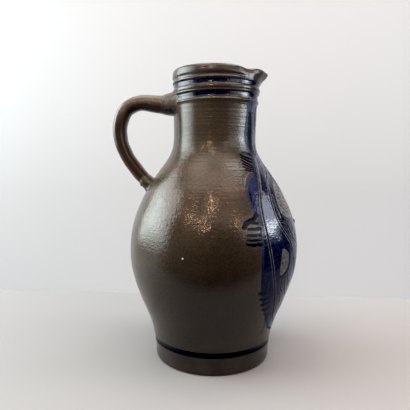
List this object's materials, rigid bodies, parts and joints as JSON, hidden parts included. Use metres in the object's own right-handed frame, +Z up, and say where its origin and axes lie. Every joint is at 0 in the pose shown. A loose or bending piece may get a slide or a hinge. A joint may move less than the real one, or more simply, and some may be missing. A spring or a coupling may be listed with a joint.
{
  "type": "stoneware beer pitcher",
  "caption": "Salt-glazed stoneware jug with a round belly, tall banded neck, pulled pouring lip and a strap handle, for serving beer.",
  "frame": {"origin": "centre of the foot's flat underside", "axes": "+Z up the thrown axis, +X towards the pouring lip, handle at -X"},
  "size_m": [0.1902, 0.1722, 0.2911],
  "materials": {
    "salt_glazed_wall": "glossy salt glaze with a fine orange-peel texture, grey-brown, with cobalt blue bands and an incised cobalt ornament on the front",
    "salt_glazed_strap": "glossy salt glaze, brown",
    "upper_luting_clay": "glossy salt glaze, grey-brown",
    "lower_luting_clay": "glossy salt glaze, grey-brown",
    "cobalt_bead": "glossy cobalt blue under salt glaze"
  },
  "bodies": {
    "root": {"vessel_body": "salt_glazed_wall", "handle": "salt_glazed_strap", "handle_upper_luting": "upper_luting_clay", "handle_lower_luting": "lower_luting_clay", "front_bead": "cobalt_bead"}
  },
  "joints": []
}
